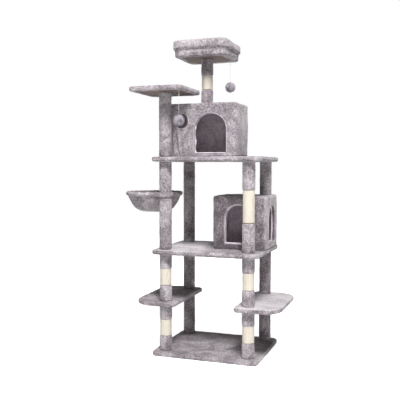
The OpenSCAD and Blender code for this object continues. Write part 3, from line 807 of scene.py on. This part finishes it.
def wind_rope(name, node_name):
    """A rope of round section, screwed up its post from the foot of the band to its top."""
    low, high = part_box(node_name)
    axis = ((low[0] + high[0]) / 2, (low[1] + high[1]) / 2)
    turns = int((high[2] - low[2] - 2 * ROPE_R) / PITCH + 0.2)
    foot = (low[2] + high[2]) / 2 - turns * PITCH / 2
    bpy.ops.object.select_all(action="DESELECT")
    bpy.ops.mesh.primitive_circle_add(
        vertices=8, radius=ROPE_R, fill_type="NOTHING", location=(WIND_R, 0, 0),
        rotation=(math.radians(90), 0, 0))
    rope = bpy.context.object
    rope.name = rope.data.name = name
    place_in_mesh(rope)
    apply_step(rope, "SCREW", angle=math.radians(360), screw_offset=PITCH, iterations=turns,
               steps=36, render_steps=36)
    into_edit(rope)
    bpy.ops.mesh.select_all(action="DESELECT")
    bpy.ops.mesh.select_non_manifold()
    bpy.ops.mesh.edge_face_add()
    out_of_edit()
    make_outward(rope)
    winding = rope.data.uv_layers.new(name="winding")
    for face in rope.data.polygons:
        first_turn = first_side = None
        for corner in face.loop_indices:
            co = rope.data.vertices[rope.data.loops[corner].vertex_index].co
            turn = math.atan2(co.y, co.x) / (2 * math.pi)
            if first_turn is not None:
                turn = near(turn, first_turn, 1)
            rise = near(co.z - turn * PITCH, 0, PITCH)
            side = math.atan2(rise, math.hypot(co.x, co.y) - WIND_R) / (2 * math.pi)
            if first_side is not None:
                side = near(side, first_side, 1)
            if first_turn is None:
                first_turn, first_side = turn, side
            winding.data[corner].uv = (turn * TWISTS_PER_TURN, side * STRANDS)
    into_edit(rope)
    bpy.ops.mesh.select_all(action="SELECT")
    bpy.ops.transform.translate(value=(axis[0], axis[1], foot))
    out_of_edit()
    rumple(rope, name + "_slack", 0.018, 0.0009)
    smooth(rope, 60)
    hand_over(rope, sisal_rope, "tree", "sisal", node_name)


for band in BANDS.values():
    wind_rope(band + "_rope", band)


# ---- Inside the posts ----
# Spiral-wound cardboard tubes, wooden end plugs, and the studs and furniture bolts that
# hold the columns together.
cardboard, card_tree, card_shader = new_material("grey_cardboard")
card_coords = node(card_tree, "TexCoord")
card_fibre = node(card_tree, "TexNoise", {
    "Vector": card_coords.outputs["Object"], "Scale": 240.0, "Detail": 6.0, "Roughness": 0.7})
card_tone = node(card_tree, "ValToRGB", {"Fac": card_fibre.outputs["Fac"]})
card_tone.color_ramp.elements[0].color = (0.24, 0.17, 0.11, 1)
card_tone.color_ramp.elements[1].color = (0.48, 0.37, 0.26, 1)
card_bump = node(card_tree, "Bump", {
    "Height": card_fibre.outputs["Fac"], "Distance": 0.0003, "Strength": 0.4})
card_tree.links.new(card_tone.outputs["Color"], card_shader.inputs["Base Color"])
card_tree.links.new(card_bump.outputs["Normal"], card_shader.inputs["Normal"])
card_shader.inputs["Roughness"].default_value = 0.85

plug_wood, wood_tree, wood_shader = new_material("turned_pine")
wood_coords = node(wood_tree, "TexCoord")
wood_stretch = node(wood_tree, "Mapping", {
    "Vector": wood_coords.outputs["Object"], "Scale": (1.0, 1.0, 0.12)})
wood_rings = node(wood_tree, "TexNoise", {
    "Vector": wood_stretch.outputs["Vector"], "Scale": 180.0, "Detail": 4.0, "Distortion": 0.8})
wood_tone = node(wood_tree, "ValToRGB", {"Fac": wood_rings.outputs["Fac"]})
wood_tone.color_ramp.elements[0].color = (0.38, 0.24, 0.12, 1)
wood_tone.color_ramp.elements[1].color = (0.66, 0.48, 0.29, 1)
wood_bump = node(wood_tree, "Bump", {
    "Height": wood_rings.outputs["Fac"], "Distance": 0.0002, "Strength": 0.5})
wood_tree.links.new(wood_tone.outputs["Color"], wood_shader.inputs["Base Color"])
wood_tree.links.new(wood_bump.outputs["Normal"], wood_shader.inputs["Normal"])
wood_shader.inputs["Roughness"].default_value = 0.65

finish_cad(cardboard, "front_tubes", "back_tubes")
finish_cad(plug_wood, "post_plugs")
finish_cad(steel, "joining_studs", "joining_bolts")


# ---- Condos ----
# Each is a bent hardboard wall with a board for a roof. Grey plush covers the outside and
# turns in to a soft roll round the doors, and a thinner plush lines the inside. The cover
# is seamed up the back.
CONDO_CORNER_R = 0.035
CONDO_STUFFING = 0.0018
RIM_TUBE = 0.0022
COVER_GIVE = 0.0030
CONDO_VOXEL = 0.0050
WALL_SKIN = 0.0150
LINING_SKIN = 0.0035
ROOM_CORNER_R = 0.015
DOOR_LIP = 0.0064
ROOF_EDGE = 0.009

# Painted light: the lining is painted much paler than the outer plush, to stand for light in the
# shade inside.
lining_painted_light_plush = plush_material(
    "lining_painted_light_plush", 0.5, 0.0018, Shade=(0.400, 0.345, 0.380, 1),
    Middle=(0.600, 0.530, 0.580, 1), Light=(0.840, 0.780, 0.820, 1), Patch_Strength=0.5)
# Painted highlight: the roll round the doors is painted paler than the outer plush it is turned
# from.
door_rim_painted_light_plush = plush_material(
    "door_rim_painted_light_plush", 0.3, 0.0012, Shade=(0.220, 0.190, 0.220, 1),
    Middle=(0.430, 0.390, 0.430, 1), Light=(0.700, 0.660, 0.700, 1), Clump_Scale=180.0)


def doorway(face, across, sill, width, height, reach_out, reach_in, turned):
    """A block in the shape of a door: level sill, straight sides and a round head."""
    low = [across - width / 2, face - reach_out, sill]
    high = [across + width / 2, face + reach_in, sill + height]
    if turned:
        low = [face - reach_in, across - width / 2, sill]
        high = [face + reach_out, across + width / 2, sill + height]
    block = block_in_box("doorway", low, high)
    into_edit(block)
    for top, radius, steps in ((True, width * 0.499, 16), (False, 0.008, 3)):
        pick("EDGE", lambda middle, way: abs(way.x if turned else way.y) > 0.9
             and (middle.z > sill + height / 2) == top)
        bpy.ops.mesh.bevel(offset=radius, segments=steps, affect="EDGES")
    out_of_edit()
    return block


def round_window(face, across, centre_z, width, reach_out, reach_in):
    bpy.ops.object.select_all(action="DESELECT")
    bpy.ops.mesh.primitive_cylinder_add(
        vertices=48, radius=width / 2, depth=reach_out + reach_in,
        location=(across, face + (reach_in - reach_out) / 2, centre_z),
        rotation=(math.radians(90), 0, 0))
    block = bpy.context.object
    place_in_mesh(block)
    return block


def inset_box(low, high, inset, z0, z1):
    """The corners of a box, drawn in all round its plan, between two heights."""
    return ((low[0] + inset, low[1] + inset, z0), (high[0] - inset, high[1] - inset, z1))


def cut_away(piece, cutter):
    apply_step(piece, "BOOLEAN", object=cutter, operation="DIFFERENCE", solver="EXACT")
    bpy.data.objects.remove(cutter)


def crease(piece, start, end, width, depth):
    """A soft fold: the surface is drawn in along a line and stands up a little beside it."""
    start, end = Vector(start), Vector(end)
    along = end - start
    length = along.length
    moves = []
    for v in piece.data.vertices:
        t = (v.co - start).dot(along) / (length * length)
        if not -0.1 < t < 1.1:
            continue
        gap = (v.co - start - along * min(1, max(0, t))).length
        if gap < 3 * width:
            fade = max(0, math.sin(math.pi * min(1, max(0, t))))
            dip = math.exp(-(gap / width) ** 2)
            ridge = math.exp(-((gap - 1.7 * width) / width) ** 2)
            fall = dip - 0.45 * ridge
            moves.append((v.index, v.normal * min(depth * fade * fall, COVER_GIVE)))
    for index, move in moves:
        piece.data.vertices[index].co -= move


def door_rim(door, low, high):
    """The turned edge of the plush round a door: its outline, thickened to a soft roll."""
    outline = door(0.0005, WALL_SKIN)
    into_edit(outline)
    pick("FACE", lambda middle, way: (way.y < -0.9 and middle.y < low[1] + 0.001)
         or (way.x > 0.9 and middle.x > high[0] - 0.001))
    bpy.ops.mesh.select_all(action="INVERT")
    bpy.ops.mesh.delete(type="FACE")
    bpy.ops.mesh.select_all(action="SELECT")
    bpy.ops.mesh.delete(type="ONLY_FACE")
    out_of_edit()
    bpy.ops.object.convert(target="CURVE")
    outline.data.bevel_depth = RIM_TUBE
    outline.data.bevel_resolution = 3
    bpy.ops.object.convert(target="MESH")
    return bpy.context.object


# Painted shade: the lower condo's plush is painted darker on faces that look to the front.
painted_shade_plush = plush_material("lower_condo_painted_shade_plush", TREE_SHEEN, TREE_BUMP, **TREE_PILE)
painted_shade_tree = painted_shade_plush.node_tree
painted_shade_facing = node(painted_shade_tree, "SeparateXYZ", {
    "Vector": node(painted_shade_tree, "NewGeometry").outputs["Normal"]})
painted_front_shade = node(painted_shade_tree, "MapRange", {
    "Value": painted_shade_facing.outputs["Y"], "From Min": -0.85, "From Max": -0.40,
    "To Min": -0.30, "To Max": 0.0})
paint_light_into_pile(painted_shade_plush, painted_front_shade.outputs["Result"])


def condo(name, doors, creases, plush):
    """The outer cover and the lining of one condo, from the box of its CAD cover."""
    low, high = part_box(name + "_cover")
    cover = block_in_box(name + "_outer_plush", *inset_box(
        low, high, -CONDO_STUFFING, low[2], high[2] + CONDO_STUFFING / 2))
    round_uprights(cover, (CONDO_CORNER_R, CONDO_CORNER_R), 12)
    into_edit(cover)
    pick("EDGE", lambda middle, way: abs(way.z) < 0.1 and middle.z > high[2] - 0.001)
    bpy.ops.mesh.bevel(offset=ROOF_EDGE, segments=5, affect="EDGES")
    out_of_edit()
    for door in doors:
        cut_away(cover, door(0.02, WALL_SKIN + 0.008))
    apply_step(cover, "REMESH", mode="VOXEL", voxel_size=CONDO_VOXEL)
    apply_step(cover, "SMOOTH", factor=0.5, iterations=4)
    rumple(cover, name + "_sag", 0.110, 0.0050, 1)
    rumple(cover, name + "_dents", 0.040, 0.0030)
    rumple(cover, name + "_clumps", 0.012, 0.0016)
    back_seam = ((low[0] + high[0]) / 2, high[1])
    for fold in (*creases, ((*back_seam, high[2] - 0.01), (*back_seam, low[2]), 0.006, 0.005)):
        crease(cover, *fold)

    def inside(p, depth):
        return (low[0] + depth < p.x < high[0] - depth
                and low[1] + depth < p.y < high[1] - depth and p.z < high[2] - depth)

    open_and_line(cover, lambda middle, way: inside(middle, WALL_SKIN)
                  or (way.z < -0.5 and middle.z < low[2] + 0.006), PLUSH_SKIN)
    smooth(cover)
    hand_over(cover, plush, "tree", "plush", name + "_cover")

    rim = join([door_rim(door, low, high) for door in doors], name + "_door_rims")
    make_outward(rim)
    rumple(rim, name + "_rim_dents", 0.020, 0.0018)
    rumple(rim, name + "_rim_clumps", 0.006, 0.0012)
    smooth(rim)
    hand_over(rim, door_rim_painted_light_plush, "tree", "plush")

    room_low = [low[0] + WALL_SKIN, low[1] + WALL_SKIN, low[2]]
    room_high = [high[0] - WALL_SKIN, high[1] - WALL_SKIN, high[2] - 0.021]
    lining = block_in_box(name + "_inner_plush", room_low, room_high)
    round_uprights(lining, (ROOM_CORNER_R, ROOM_CORNER_R), 8)
    for door in doors:
        cut_away(lining, door(0.02, WALL_SKIN + 0.012))
    apply_step(lining, "REMESH", mode="VOXEL", voxel_size=0.006)
    apply_step(lining, "SMOOTH", factor=0.5, iterations=2)
    rumple(lining, name + "_lining_dents", 0.050, 0.0030)
    rumple(lining, name + "_lining_clumps", 0.014, 0.0012)
    into_edit(lining)
    pick("FACE", lambda middle, way: inside(middle, WALL_SKIN + DOOR_LIP)
         and middle.z < room_high[2] - 0.006
         or (way.z < -0.5 and middle.z < low[2] + 0.006))
    bpy.ops.mesh.delete(type="FACE")
    bpy.ops.mesh.select_all(action="SELECT")
    bpy.ops.mesh.flip_normals()
    out_of_edit()
    apply_step(lining, "SOLIDIFY", thickness=LINING_SKIN, offset=-1)
    smooth(lining)
    hand_over(lining, lining_painted_light_plush, "tree", "lining", name + "_lining")
    finish_cad(particle_board, name + "_wall", name + "_roof")


LOWER_DOOR = {"width": 0.156, "height": 0.216}
LOWER_SILL = 0.030
UPPER_DOOR = {"width": 0.186, "height": 0.220}
UPPER_SILL = 0.019
WINDOW_W = 0.090
lower_low, lower_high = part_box("lower_condo_cover")
upper_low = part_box("upper_condo_cover")[0]

condo("lower_condo", (
    lambda out, inn: doorway(lower_low[1], 0.150, lower_low[2] + LOWER_SILL,
                             reach_out=out, reach_in=inn, turned=False, **LOWER_DOOR),
    lambda out, inn: doorway(lower_high[0], 0.070, lower_low[2] + LOWER_SILL,
                             reach_out=out, reach_in=inn, turned=True, **LOWER_DOOR)),
    (((0.03, -0.09, 0.84), (0.075, -0.09, 0.80), 0.007, 0.0022),
     ((0.22, -0.09, 0.85), (0.262, -0.09, 0.79), 0.007, 0.0020),
     ((0.299, -0.03, 0.86), (0.299, -0.015, 0.80), 0.007, 0.0022)), painted_shade_plush)
condo("upper_condo", (
    lambda out, inn: doorway(upper_low[1], -0.001, upper_low[2] + UPPER_SILL,
                             reach_out=out, reach_in=inn, turned=False, **UPPER_DOOR),
    lambda out, inn: round_window(upper_low[1], -0.171, 1.286, WINDOW_W, out, inn)),
    (((-0.204, -0.12, 1.262), (-0.182, -0.12, 1.092), 0.008, 0.0150),
     ((-0.172, -0.12, 1.250), (-0.160, -0.12, 1.095), 0.007, 0.0130),
     ((-0.138, -0.12, 1.240), (-0.130, -0.12, 1.105), 0.007, 0.0080),
     ((-0.224, -0.12, 1.240), (-0.224, -0.12, 1.095), 0.007, 0.0100),
     ((0.108, -0.12, 1.340), (0.130, -0.10, 1.150), 0.009, 0.0024),
     ((0.148, -0.03, 1.350), (0.148, 0.02, 1.180), 0.010, 0.0024),
     ((0.148, 0.07, 1.330), (0.148, 0.09, 1.140), 0.010, 0.0020)), tree_plush)


# ---- Bed: stuffed bolster and pad ----
# The bolster is one long plush cushion with two lobes, parted by a stitched seam, that runs
# round the board and is stapled under it. A loose pad lies inside it.
SEAM_Z = 1.687
BOLSTER_W = 0.050
BOLSTER_R = 0.050
LOBE_STEP = 0.012
SWELL_START = 0.001
SWELL_LIMIT = 0.009
SWELL_RISE = 0.4
SEAM_PINCH = 0.0055
SEAM_PUCKER = 0.0024


def cushion_block(name, low, high, radius, edge_round, segments=6):
    """A block with round upright corners and soft level edges."""
    block = block_in_box(name, low, high)
    round_uprights(block, (radius, radius), 12)
    into_edit(block)
    pick("EDGE", lambda middle, way: abs(way.z) < 0.1)
    bpy.ops.mesh.bevel(offset=edge_round, segments=segments, affect="EDGES")
    out_of_edit()
    return block


def swell(piece, pressure, limit, held):
    """Inflate a piece as sewn cloth, holding some of it still, with a limit to every move."""
    pins = piece.vertex_groups.new(name="held")
    for v in piece.data.vertices:
        grip = held(v.co)
        if grip > 0:
            pins.add([v.index], grip, "REPLACE")
    rest = [v.co.copy() for v in piece.data.vertices]
    cloth = piece.modifiers.new("cloth", "CLOTH")
    cloth.settings.quality = 5
    cloth.settings.mass = 0.25
    cloth.settings.tension_stiffness = 12
    cloth.settings.compression_stiffness = 12
    cloth.settings.bending_stiffness = 0.4
    cloth.settings.use_pressure = True
    cloth.settings.uniform_pressure_force = pressure
    cloth.settings.vertex_group_mass = "held"
    cloth.settings.effector_weights.gravity = 0
    cloth.point_cache.frame_start = 1
    cloth.point_cache.frame_end = 20
    for frame_number in range(1, 21):
        bpy.context.scene.frame_set(frame_number)
    posed = piece.evaluated_get(bpy.context.evaluated_depsgraph_get())
    swollen = [v.co.copy() for v in posed.data.vertices]
    piece.modifiers.remove(cloth)
    bpy.context.scene.frame_set(1)
    for v, start, end in zip(piece.data.vertices, rest, swollen):
        move = end - start
        move.z *= SWELL_RISE
        v.co = start + move * min(1.0, limit / max(move.length, 1e-9))


bed_low, bed_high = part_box("bed_bolster")
bed_mid = ((bed_low[0] + bed_high[0]) / 2, (bed_low[1] + bed_high[1]) / 2)
upper_lobe = cushion_block("bed_bolster_plush", *inset_box(
    bed_low, bed_high, SWELL_START, SEAM_Z - 0.003, bed_high[2] + 0.003),
    BOLSTER_R, 0.008)
lower_lobe = cushion_block("lower_lobe", *inset_box(
    bed_low, bed_high, LOBE_STEP + SWELL_START, bed_low[2] + 0.001, SEAM_Z + 0.003),
    BOLSTER_R - LOBE_STEP, 0.010)
apply_step(upper_lobe, "BOOLEAN", object=lower_lobe, operation="UNION", solver="EXACT")
bpy.data.objects.remove(lower_lobe)
bolster = upper_lobe
cut_away(bolster, cushion_block("tray", *inset_box(
    bed_low, bed_high, BOLSTER_W + SWELL_START, bed_low[2] + 0.017, bed_high[2] + 0.05),
    0.022, 0.006))
cut_away(bolster, cushion_block("under_board", *inset_box(
    bed_low, bed_high, 0.043, bed_low[2] - 0.02, bed_low[2] + 0.007), 0.030, 0.002, 2))
apply_step(bolster, "REMESH", mode="VOXEL", voxel_size=0.0048)
apply_step(bolster, "SMOOTH", factor=0.5, iterations=2)


def bolster_hold(co):
    """The stitched seam and the stapled underside stay where they are."""
    edge = min(co.x - bed_low[0], bed_high[0] - co.x, co.y - bed_low[1], bed_high[1] - co.y)
    if co.z < bed_low[2] + 0.012 or (abs(co.z - SEAM_Z) < 0.003 and edge < 0.030):
        return 1.0
    return 0.0


swell(bolster, 4.0, SWELL_LIMIT, bolster_hold)
apply_step(bolster, "SUBSURF", levels=1, render_levels=1)
for v in bolster.data.vertices:
    out = Vector((v.co.x - bed_mid[0], v.co.y - bed_mid[1], 0))
    edge = min(v.co.x - bed_low[0], bed_high[0] - v.co.x,
               v.co.y - bed_low[1], bed_high[1] - v.co.y)
    if edge > 0.045:
        continue
    turn = math.atan2(out.y, out.x)
    off_seam = (v.co.z - SEAM_Z) / 0.014
    pucker = math.sin(turn * 37 + 0.9 * math.sin(turn * 11)) * math.exp(-abs(off_seam))
    pinch = SEAM_PINCH * math.exp(-(off_seam * 3.2) ** 2)
    v.co -= out.normalized() * (pinch + SEAM_PUCKER * pucker)
rumple(bolster, "bolster_dents", 0.045, 0.0030)
rumple(bolster, "bolster_clumps", 0.012, 0.0013)
smooth(bolster)
hand_over(bolster, tree_plush, "tree", "plush", "bed_bolster")

pad_low, pad_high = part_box("bed_pad")
pad = cushion_block("bed_pad_plush", *inset_box(
    pad_low, pad_high, 0.002, pad_low[2] + 0.0005, pad_high[2] - 0.004), 0.018, 0.006)
apply_step(pad, "REMESH", mode="VOXEL", voxel_size=0.0045)
swell(pad, 3.0, 0.006, lambda co: 1.0 if co.z < pad_low[2] + 0.003 else 0.0)
apply_step(pad, "SUBSURF", levels=1, render_levels=1)
rumple(pad, "pad_dents", 0.050, 0.0040)
rumple(pad, "pad_clumps", 0.012, 0.0012)
smooth(pad)
hand_over(pad, tree_plush, "tree", "plush", "bed_pad")
finish_cad(particle_board, "bed_board")
wire_staples("bed_lip_staples", bed_low, bed_high, 0.034, 0.080,
             bed_low[2] - STAPLE_PROUD)
wire_staples("bolster_stitches", bed_low, bed_high, 0.0035, 0.055, SEAM_Z + 0.002, 0.017,
             string_cotton, "string")


# ---- Hammock ----
# A plush sleeve covers a steel hoop, which is bolted through a saddle plate to the front
# left post. A soft sling is sewn under it, and a strap goes round the front of the post.
RIM_R = 0.011
SLING_SKIN = 0.004
SLING_RINGS = 34
BOWL_POWER = 4.0
BOWL_FOLD = 0.0060

rim_low, rim_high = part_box("hammock_rim")
sling_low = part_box("hammock_sling")[0]
hoop_mid = Vector([(a + b) / 2 for a, b in zip(rim_low, rim_high)])
HOOP_R = (rim_high[1] - rim_low[1]) / 2 - RIM_R
held_low, held_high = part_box("front_left_post_3")
post_mid = Vector((
    (held_low[0] + held_high[0]) / 2, (held_low[1] + held_high[1]) / 2, hoop_mid.z))
hoop_turn = math.atan2(hoop_mid.y - post_mid.y, hoop_mid.x - post_mid.x)

bpy.ops.object.select_all(action="DESELECT")
bpy.ops.mesh.primitive_torus_add(
    major_radius=HOOP_R, minor_radius=RIM_R, major_segments=240, minor_segments=20,
    location=hoop_mid)
rim = bpy.context.object
rim.name = "hammock_rim_plush"
place_in_mesh(rim)
for v in rim.data.vertices:
    out = Vector((v.co.x - hoop_mid.x, v.co.y - hoop_mid.y, 0))
    turn = math.atan2(out.y, out.x)
    core = hoop_mid + out.normalized() * HOOP_R
    fine = 0.07 * math.sin(turn * 46 + 2.2 * math.sin(turn * 9))
    gather = 1 + fine + 0.05 * math.sin(turn * 17)
    v.co = core + (v.co - core) * gather
rumple(rim, "rim_dents", 0.030, 0.0030)
rumple(rim, "rim_clumps", 0.010, 0.0012)
smooth(rim)
hand_over(rim, tree_plush, "tree", "plush", "hammock_rim")

bpy.ops.object.select_all(action="DESELECT")
bpy.ops.mesh.primitive_circle_add(vertices=144, radius=1.0, fill_type="NOTHING")
sling = bpy.context.object
sling.name = "hammock_sling_plush"
into_edit(sling)
bpy.ops.mesh.select_all(action="SELECT")
for ring in range(SLING_RINGS):
    share = (SLING_RINGS - 1 - ring) / (SLING_RINGS - ring)
    bpy.ops.mesh.extrude_edges_move()
    bpy.ops.transform.resize(value=(share, share, 1) if share > 0.03 else (0.25, 0.25, 1))
bpy.ops.mesh.edge_face_add()
out_of_edit()
sling_depth = hoop_mid.z - sling_low[2] - 0.002
for v in sling.data.vertices:
    reach = v.co.length
    turn = math.atan2(v.co.y, v.co.x)
    bowl = 1 - reach ** BOWL_POWER
    fold = math.sin(turn * 13 + 1.7 * math.sin(turn * 4)) * reach ** 3 * (1 - reach ** 6)
    flat_r = (HOOP_R - 0.001) * reach ** 0.92
    v.co = hoop_mid + Vector((
        math.cos(turn) * flat_r, math.sin(turn) * flat_r,
        -SLING_SKIN - sling_depth * bowl + BOWL_FOLD * fold))
into_edit(sling)
bpy.ops.mesh.select_all(action="SELECT")
bpy.ops.mesh.normals_make_consistent(inside=False)
out_of_edit()
rumple(sling, "sling_dents", 0.050, 0.0060)
rumple(sling, "sling_clumps", 0.012, 0.0012)
apply_step(sling, "SOLIDIFY", thickness=SLING_SKIN, offset=0)
smooth(sling)
hand_over(sling, tree_plush, "tree", "plush", "hammock_sling")

strap_low, strap_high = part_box("hammock_strap")
STRAP_H = strap_high[2] - strap_low[2]
STRAP_T = 0.007
strap_line = [Vector((math.cos(a), math.sin(a), 0)) * 0.0385
              for a in [math.radians(d) for d in range(90, 271, 6)]]
leg_far = Vector((0.038, 0.047, 0))
legs_up = [leg_far.lerp(strap_line[0], t) for t in (0, 0.25, 0.5, 0.75)]
legs_down = [Vector((p.x, -p.y, 0)) for p in reversed(legs_up)]
strap_line = legs_up + strap_line + legs_down
turned = Matrix.Translation(post_mid) @ Matrix.Rotation(hoop_turn, 4, "Z")
strap_mesh = bpy.data.meshes.new("hammock_strap_plush")
strap_mesh.from_pydata([turned @ p for p in strap_line],
                       [(i, i + 1) for i in range(len(strap_line) - 1)], [])
strap = bpy.data.objects.new("hammock_strap_plush", strap_mesh)
bpy.context.collection.objects.link(strap)
into_edit(strap)
bpy.ops.mesh.select_all(action="SELECT")
bpy.ops.transform.translate(value=(0, 0, -STRAP_H / 2))
for _ in range(8):
    bpy.ops.mesh.extrude_edges_move(TRANSFORM_OT_translate={"value": (0, 0, STRAP_H / 8)})
bpy.ops.mesh.select_all(action="SELECT")
bpy.ops.mesh.normals_make_consistent(inside=False)
out_of_edit()
apply_step(strap, "SOLIDIFY", thickness=STRAP_T, offset=0)
apply_step(strap, "BEVEL", width=0.0022, segments=3, limit_method="ANGLE", angle_limit=0.9)
apply_step(strap, "SUBSURF", levels=1, render_levels=1)
rumple(strap, "strap_dents", 0.020, 0.0018)
rumple(strap, "strap_clumps", 0.009, 0.0008)
smooth(strap)
hand_over(strap, tree_plush, "tree", "plush", "hammock_strap")
finish_cad(steel, "hammock_hoop", "hammock_bolts")
